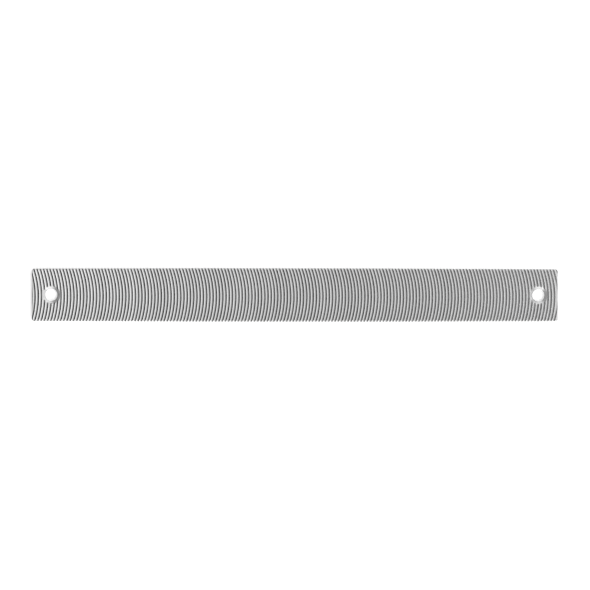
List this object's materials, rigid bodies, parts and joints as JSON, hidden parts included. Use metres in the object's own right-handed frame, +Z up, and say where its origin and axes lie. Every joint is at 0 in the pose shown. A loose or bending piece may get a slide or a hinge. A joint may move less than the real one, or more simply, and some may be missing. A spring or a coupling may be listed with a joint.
{
  "type": "milled-tooth rasp blade",
  "caption": "Flat steel rasp blade with curved milled teeth on both faces and a countersunk screw hole near each end.",
  "frame": {"origin": "middle of the underside, level with the cutting edges of its teeth", "axes": "+X along the blade, the way its tooth arcs bulge, and away from the way its cutting edges face; +Y across it; +Z up through its thickness"},
  "size_m": [0.35, 0.0356, 0.004],
  "materials": {
    "blade_steel": "hardened tool steel, milled bright, fine cutter marks along the teeth"
  },
  "bodies": {
    "root": {"blade": "blade_steel"}
  },
  "joints": []
}
